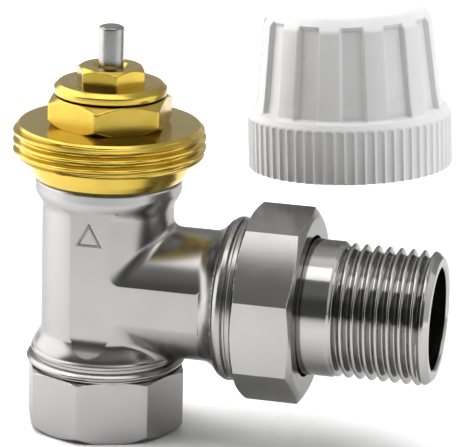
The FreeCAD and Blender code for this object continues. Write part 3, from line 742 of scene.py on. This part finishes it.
VOXEL = 0.26
forging = piece_from(
    forging_mesh(VOXEL), "forging_body", "valve", "valve_body", SATIN_NICKEL, sharp=180)
shade_forging(forging.data)
piece_from(socket_mesh(), "forging_socket", "valve", "valve_body", SATIN_NICKEL)
piece_from(collar_mesh(), "forging_collar", "valve", "valve_body", SATIN_NICKEL, ALONG_OUTLET)
piece_from(mark_mesh(), "direction_mark", "valve", None, SATIN_NICKEL, sharp=40)


# ---- brass head ------------------------------------------------------------

RING_BOTTOM = RING_TOP - 5.3
SLEEVE_R = 7.2                 # housing's sleeve inside the ring
STEM_R = 4.55                  # gland nut's stem inside the housing
SPRING_ROOM_R = 5.2
HOUSING_TURN = 33.8            # degrees from the outlet to a corner of the large hexagon
GLAND_TURN = 55.7              # and of the small one


def head_collar_mesh():
    """Threaded brass ring, its neck and the skirt that screws into the forging."""
    corners = [
        (SLEEVE_R + 0.05, SKIRT_BOTTOM, 0.1),
        (TOP_BORE_R - 0.05, SKIRT_BOTTOM, 0.1),
        (TOP_BORE_R - 0.05, BODY_TOP + 0.02, 0),
        (RIM_R - 0.15, BODY_TOP + 0.02, 0.1),
        (RIM_R + 0.35, BODY_TOP + 0.45, 0.2),
        (RIM_R + 0.75, BODY_TOP + 1.3, 0.3),
        (HEAD_CREST_R - 2.35, RING_BOTTOM, 0.2),
        (HEAD_CREST_R - 1.0, RING_BOTTOM, 0.1),
        (HEAD_CREST_R, RING_BOTTOM + 0.6, 0.1),
        (HEAD_CREST_R, RING_TOP - 0.9, 0.1),
        (HEAD_CREST_R - 1.0, RING_TOP, 0.15),
        (SLEEVE_R + 0.05, RING_TOP, 0),
    ]
    masks = {"thread": within(RING_BOTTOM + 0.15, RING_TOP - 0.5, HEAD_CREST_R - 0.9)}
    fine = (RING_BOTTOM - 0.1, RING_TOP - 0.1, 0.09, HEAD_CREST_R - 1.1)
    return turned(corners, BRASS, fine=fine, masks=masks, Segments=256,
                  Thread_Pitch=HEAD_PITCH, Thread_Depth=HEAD_DEPTH * 0.8, Thread_Crest=0.12)


def insert_housing_mesh():
    """Housing with its bevelled spanner hexagon."""
    flats = 17.5
    corner_r = flats / 2 / math.cos(math.pi / 6)
    rod_room_r = high("spindle_rod", 0) + 0.05
    guide_r = high("guide_bush", 0) + 0.05
    guide_top = SLEEVE_BOTTOM + 2.56
    spring_floor = SLEEVE_BOTTOM + 3.0
    spring_room_top = low("stop_washer", 2)
    corners = [
        (guide_r, SLEEVE_BOTTOM, 0),
        (SLEEVE_R, SLEEVE_BOTTOM, 0.2),
        (SLEEVE_R, RING_TOP + 0.02, 0),
        (flats / 2 + 0.3, RING_TOP + 0.02, 0.2),
        (corner_r - 0.08, RING_TOP + 0.9, 0.3),
        (corner_r - 0.08, HOUSING_TOP - 0.95, 0.3),
        (flats / 2 - 0.15, HOUSING_TOP, 0.25),
        (STEM_R + 0.05, HOUSING_TOP, 0),
        (STEM_R + 0.05, spring_room_top, 0),
        (SPRING_ROOM_R, spring_room_top, 0),
        (SPRING_ROOM_R, spring_floor, 0),
        (rod_room_r, spring_floor, 0),
        (rod_room_r, guide_top, 0),
        (guide_r, guide_top, 0),
    ]
    masks = {"sides": within(RING_TOP, HOUSING_TOP + 1, SLEEVE_R + 0.3, 0.02)}
    return turned(
        corners, BRASS, fine=(RING_TOP + 0.1, HOUSING_TOP, 0.12, SLEEVE_R + 0.5), masks=masks,
        Segments=240, Turn=math.radians(HOUSING_TURN), Sides=6.0, Flat_Radius=flats / 2, Edge=0.08)


def gland_nut_mesh():
    """Gland nut: stem, turned disc and small bevelled hexagon."""
    flats = 9.7
    corner_r = flats / 2 / math.cos(math.pi / 6)
    disc_r = 8.75
    disc_bottom = HOUSING_TOP + 0.3
    disc_top = disc_bottom + 1.8
    corners = [
        (2.0, STEM_BOTTOM, 0),
        (STEM_R, STEM_BOTTOM, 0.2),
        (STEM_R, disc_bottom, 0),
        (disc_r - 0.1, disc_bottom, 0.1),
        (disc_r, disc_bottom + 0.5, 0.2),
        (disc_r, disc_top - 0.8, 0.3),
        (disc_r - 0.75, disc_top - 0.1, 0.3),
        (corner_r + 0.9, disc_top, 0.3),
        (corner_r + 0.25, disc_top - 0.02, 0),
        (corner_r - 0.05, disc_top + 0.06, 0),
        (corner_r - 0.05, GLAND_TOP - 0.65, 0.2),
        (flats / 2 - 0.25, GLAND_TOP, 0.2),
        (2.9, GLAND_TOP, 0.1),
        (2.0, GLAND_TOP - 0.7, 0.1),
    ]
    masks = {"sides": within(disc_top + 0.03, GLAND_TOP + 1, 4.0, 0.02)}
    return turned(
        corners, BRASS, step=0.4, fine=(disc_top + 0.05, GLAND_TOP, 0.1, 4.0), masks=masks,
        Segments=192, Turn=math.radians(GLAND_TURN), Sides=6.0, Flat_Radius=flats / 2, Edge=0.06)


piece_from(head_collar_mesh(), "head_collar_ring", "valve", "head_collar", BRASS)
piece_from(insert_housing_mesh(), "insert_hexagon", "valve", "insert_housing", BRASS)
piece_from(gland_nut_mesh(), "gland_hexagon", "valve", "gland_nut", BRASS)


# ---- pin and spring --------------------------------------------------------

def drive_pin_mesh():
    """Pin with a rounded tip."""
    radius = 1.95
    corners = [
        (0, PIN_BOTTOM, 0),
        (radius, PIN_BOTTOM, 0.15),
        (radius, PIN_TIP - 0.25, 0.35),
        (radius - 0.5, PIN_TIP, 0.3),
        (0, PIN_TIP, 0),
    ]
    return turned(corners, STEEL, step=0.5, closed=False, Segments=96)


def spring_tree():
    """Geometry Nodes tree for a coil of round wire."""
    tree = bpy.data.node_groups.new("return spring", "GeometryNodeTree")
    for name in ("Turns", "Coil Radius", "Wire Radius", "Length"):
        tree.interface.new_socket(name, in_out="INPUT", socket_type="NodeSocketFloat")
    tree.interface.new_socket("Material", in_out="INPUT", socket_type="NodeSocketMaterial")
    tree.interface.new_socket("Piece", in_out="OUTPUT", socket_type="NodeSocketGeometry")
    bench = Bench(tree)
    given = bench.add("NodeGroupInput").outputs
    coil = bench.add(
        "GeometryNodeCurveSpiral", Resolution=40, Rotations=given["Turns"], Height=given["Length"],
        Start_Radius=given["Coil Radius"], End_Radius=given["Coil Radius"])
    wire = bench.add("GeometryNodeCurvePrimitiveCircle", Resolution=20, Radius=given["Wire Radius"])
    tube = bench.add(
        "GeometryNodeCurveToMesh", Curve=coil.outputs[0], Profile_Curve=wire.outputs[0], Fill_Caps=True)
    real = bench.add("GeometryNodeRealizeInstances", Geometry=tube.outputs[0])
    painted = bench.add("GeometryNodeSetMaterial", Geometry=real.outputs[0], Material=given["Material"])
    result = bench.add("NodeGroupOutput")
    tree.links.new(painted.outputs[0], result.inputs["Piece"])
    return tree


def spring_mesh():
    """Coil between the housing's floor and the spring plate."""
    wire_r = 0.4
    bottom = low("return_spring", 2) + wire_r
    top = high("return_spring", 2) - wire_r
    holder = bpy.data.objects.new("spring", bpy.data.meshes.new("spring"))
    bpy.context.scene.collection.objects.link(holder)
    values = {
        "Turns": 4.5, "Coil Radius": 4.1, "Wire Radius": wire_r,
        "Length": top - bottom, "Material": SPRING_STEEL}
    mesh = nodes_to_mesh(holder, spring_tree(), values)
    mesh.transform(Matrix.Translation((0, 0, bottom)))
    return mesh


piece_from(drive_pin_mesh(), "drive_pin_bar", "spindle", "drive_pin", STEEL)
spring = piece_from(
    spring_mesh(), "return_spring_coil", "spindle", "return_spring", SPRING_STEEL)


# ---- union -----------------------------------------------------------------

NUT_FACES_TURN = 29.5          # degrees from straight up to a corner of the octagon


def union_nut_mesh():
    """Octagon union nut, bevelled at both ends."""
    flats = 28.7
    corner_r = flats / 2 / math.cos(math.pi / 8)
    shank_bore = 10.97
    shoulder = 1.5
    corners = [
        (UNION_THREAD_R + 0.3, NUT_BACK, 0.1),
        (flats / 2 - 0.55, NUT_BACK, 0.2),
        (corner_r - 0.1, NUT_BACK + 0.8, 0.3),
        (corner_r - 0.1, NUT_FRONT - 0.85, 0.3),
        (flats / 2 - 0.7, NUT_FRONT, 0.25),
        (shank_bore, NUT_FRONT, 0.15),
        (shank_bore, NUT_FRONT - shoulder, 0.1),
        (UNION_THREAD_R + 0.3, NUT_FRONT - shoulder, 0),
    ]
    masks = {"sides": within(NUT_BACK - 1, NUT_FRONT + 1, UNION_THREAD_R + 0.4, 0.1)}
    return turned(
        corners, NUT_NICKEL, fine=(NUT_BACK, NUT_FRONT, 0.14, UNION_THREAD_R + 0.6), masks=masks,
        Segments=256, Turn=math.radians(NUT_FACES_TURN),
        Sides=8.0, Flat_Radius=flats / 2 + 0.1, Edge=0.12, Crown=0.75)


def tailpiece_mesh():
    """Tailpiece with its pipe thread."""
    face = UNION_FACE + 0.3
    shank_r = 10.58
    thread_start = TAIL_END - 15.2
    nose_r = 8.7
    corners = [
        (BRANCH_BORE_R - 0.4, TAIL_START, 0.1),
        (nose_r - 0.3, TAIL_START, 0.1),
        (nose_r, TAIL_START + 0.3, 0.1),
        (nose_r, face, 0),
        (12.6, face, 0.2),
        (12.6, face + 2.1, 0.3),
        (shank_r, face + 2.1, 0.2),
        (shank_r, thread_start - 0.3, 0.12),
        (TAIL_CREST_R - 0.15, thread_start + 0.1, 0.1),
        (TAIL_CREST_R, thread_start + 0.5, 0),
        (TAIL_CREST_R, TAIL_END - 1.3, 0.2),
        (TAIL_CREST_R - 0.3, TAIL_END - 0.7, 0.2),
        (TAIL_CREST_R - 1.0, TAIL_END, 0.15),
        (TAIL_BORE_R + 0.3, TAIL_END, 0.1),
        (TAIL_BORE_R, TAIL_END - 0.3, 0.1),
        (TAIL_BORE_R, face + 2.1, 0.3),
        (BRANCH_BORE_R - 0.4, face + 1, 0.3),
    ]
    masks = {"thread": within(thread_start + 0.5, TAIL_END - 1.5, TAIL_BORE_R + 1.0, 0.8)}
    fine = (thread_start, TAIL_END, PIPE_PITCH / 16, TAIL_BORE_R + 0.5)
    return turned(corners, BRIGHT_NICKEL, step=0.5, fine=fine, masks=masks, Segments=256,
                  Thread_Pitch=PIPE_PITCH, Thread_Depth=PIPE_DEPTH, Thread_Crest=0.05)


piece_from(
    union_nut_mesh(), "union_nut_octagon", "nut", "union_nut", NUT_NICKEL, ALONG_OUTLET)
piece_from(
    tailpiece_mesh(), "tailpiece_thread", "tail", "tailpiece", BRIGHT_NICKEL,
    ALONG_OUTLET, sharp=40)


# ---- protective cap --------------------------------------------------------

CAP_AXIS = -Vector(MOUNTS["cap_thread"]["axis"])
CAP_RIM_HEIGHT = 4.0          # the cap thread's stated point above the cap's rim
CAP_HEIGHT = 25.9
CAP_DOME = 1.4
CAP_TURN = 14.7                # degrees that bring a flute to the front
RIBS = 64


def cap_place():
    """Place of the cap's own frame: its rim's centre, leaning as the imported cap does."""
    rim = Vector(MOUNTS["cap_thread"]["pos_m"]) / MM - CAP_AXIS * CAP_RIM_HEIGHT
    lean_y = math.asin(CAP_AXIS.y)
    lean_x = math.atan2(CAP_AXIS.x, CAP_AXIS.z)
    turn = Matrix.Rotation(-lean_y, 4, "X") @ Matrix.Rotation(lean_x, 4, "Y")
    return Matrix.Translation(rim) @ turn


def cap_mesh():
    """White cap: ribbed ring, shoulder, fluted grip and shallow dome."""
    rim_r = 16.5
    shoulder_r = 15.8
    foot_r = 14.8
    top_r = 13.5
    room_r = 11.3
    corners = [
        (0, CAP_HEIGHT + CAP_DOME, 0),
        (top_r * 0.5, CAP_HEIGHT + CAP_DOME * 0.8, 12),
        (top_r - 1.6, CAP_HEIGHT + 0.15, 1.5),
        (top_r + 0.05, CAP_HEIGHT - 2.0, 1.2),
        (foot_r, 12.2, 3),
        (foot_r + 0.35, 10.0, 0.3),
        (shoulder_r, 9.6, 0.25),
        (rim_r, 8.4, 0.5),
        (rim_r, 0.2, 0.2),
        (rim_r - 0.5, 0, 0.2),
        (15.3, 0, 0.1),
        (CAP_BORE_R, 1.2, 0.1),
        (CAP_BORE_R, 7.0, 0.3),
        (room_r, 9.9, 0.4),
        (room_r, CAP_HEIGHT - 1.4, 0.8),
        (0, CAP_HEIGHT - 1.4, 0),
    ]
    masks = {
        "flute": within(9.75, 24.2, 12.9, 0.25),
        "rib": within(-0.5, 8.5, 15.9, 0.4),
        "thread": lambda r, z: within(1.4, 6.6)(r, z) if CAP_BORE_R - 0.1 < r < CAP_BORE_R + 0.1 else 0.0,
    }
    return turned(
        corners, WHITE_PLASTIC, step=0.68, closed=False, fine=(9.3, 24.8, 0.28, 12.6), masks=masks,
        Segments=RIBS * 8, Turn=math.radians(CAP_TURN), Thread_Pitch=HEAD_PITCH, Thread_Depth=-HEAD_DEPTH,
        Flutes=12.0, Flute_Depth=0.95, Flute_Share=0.5, Ribs=float(RIBS), Rib_Depth=0.28)


piece_from(
    cap_mesh(), "cap_shell", "cap", "protective_cap", WHITE_PLASTIC, cap_place(), sharp=35)


# ---- carried-over nodes ----------------------------------------------------

CARRIED = (
    (RUBBER, ("collar_seal", "insert_seal", "pin_seal", "spindle_seal", "tail_seal", "valve_washer")),
    (STEEL, ("stop_washer", "spindle_rod", "spring_plate")),
    (SPRING_STEEL, ("pin_clip", "spindle_clip")),
    (BUSH_PLASTIC, ("guide_bush",)),
    (BRASS, ("washer_holder", "washer_locknut")),
)
for material, nodes in CARRIED:
    for node in nodes:
        slots = frame["nodes"][node].data.materials
        slots.clear()
        slots.append(material)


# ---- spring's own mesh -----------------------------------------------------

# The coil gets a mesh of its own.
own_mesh(spring)


# ---- studio ----------------------------------------------------------------

def studio_floor():
    """Wide pale floor."""
    work = bmesh.new()
    bmesh.ops.create_grid(work, x_segments=2, y_segments=2, size=3.0)
    mesh = bpy.data.meshes.new("studio_floor")
    work.to_mesh(mesh)
    work.free()
    floor = bpy.data.objects.new("studio_floor", mesh)
    floor.location.z = -0.0001
    bpy.context.scene.collection.objects.link(floor)
    material = finish(
        "pale floor", ((0.88, 0.88, 0.88), (0.9, 0.9, 0.9)), (0.7, 0.8), 2.0, 0.0, metallic=0.0)
    mesh.materials.append(material)


def area_light(name, place, aim, size, radiance, mirrored=True, casts=True):
    """Soft panel of an even radiance; it may be left out of mirrored or of scattered light."""
    data = bpy.data.lights.new(name, "AREA")
    data.shape = "RECTANGLE"
    data.size, data.size_y = size
    data.energy = radiance * math.pi * size[0] * size[1]
    lamp = bpy.data.objects.new(name, data)
    lamp.location = place
    lamp.rotation_euler = (Vector(aim) - Vector(place)).to_track_quat("-Z", "Y").to_euler()
    lamp.visible_camera = False
    lamp.visible_glossy = mirrored
    lamp.visible_diffuse = casts
    bpy.context.scene.collection.objects.link(lamp)


def studio_world():
    """Room: dark on the front side, mid grey behind and bright overhead."""
    world = bpy.data.worlds.new("studio")
    world.use_nodes = True
    bpy.context.scene.world = world
    bench = Bench(world.node_tree)
    way = bench.add("ShaderNodeSeparateXYZ", Vector=bench.add("ShaderNodeTexCoord").outputs["Generated"])
    front = bench.sum("MULTIPLY", way.outputs["Y"], -1.0)
    back_share = bench.fade(front, -0.25, 0.15, 1.0, 0.0)
    low_light = bench.fade(back_share, 0.0, 1.0, 0.10, 0.5, smooth=False)
    middle = bench.fade(way.outputs["Z"], 0.4, 0.65, 0.0, 0.16)
    overhead = bench.fade(way.outputs["Z"], 0.88, 0.97, 0.0, 0.8)
    strength = bench.sum("ADD", bench.sum("ADD", low_light, middle), overhead)
    background = world.node_tree.nodes["Background"]
    background.inputs["Color"].default_value = (1, 1, 1, 1)
    bench.put(background, "Strength", strength)


def camera():
    """Long lens, a little above and to the right of the valve's front."""
    azimuth, elevation, roll = (math.radians(a) for a in (13.73, 16.72, 1.69))
    distance = 0.4795
    target = Vector((0.01929, 0, 0.03423))
    back = Vector((
        math.sin(azimuth) * math.cos(elevation),
        -math.cos(azimuth) * math.cos(elevation),
        math.sin(elevation)))
    data = bpy.data.cameras.new("camera")
    data.sensor_width = 36
    data.sensor_fit = "HORIZONTAL"
    data.lens = 244.9
    view = bpy.data.objects.new("camera", data)
    turn = back.to_track_quat("Z", "Y").to_matrix().to_4x4() @ Matrix.Rotation(roll, 4, "Z")
    view.matrix_world = Matrix.Translation(target + back * distance) @ turn
    bpy.context.scene.collection.objects.link(view)
    bpy.context.scene.camera = view


studio_floor()
studio_world()
area_light("overhead softbox", (0.0, -0.165, 0.60), (0.0, -0.165, 0.0), (0.9, 0.27), 2.0, casts=False)
area_light("floor wash", (0.02, 0.20, 0.45), (0.02, 0.199, 0.0), (1.2, 0.7), 2.5, mirrored=False)
area_light("left card", (-0.13, 0.0, 0.10), (0.0, 0.0, 0.04), (0.2, 0.2), 2.4)
area_light("right card", (0.20, 0.0, 0.10), (0.02, 0.0, 0.05), (0.2, 0.2), 0.8)
camera()
bpy.context.scene.view_settings.view_transform = "Standard"
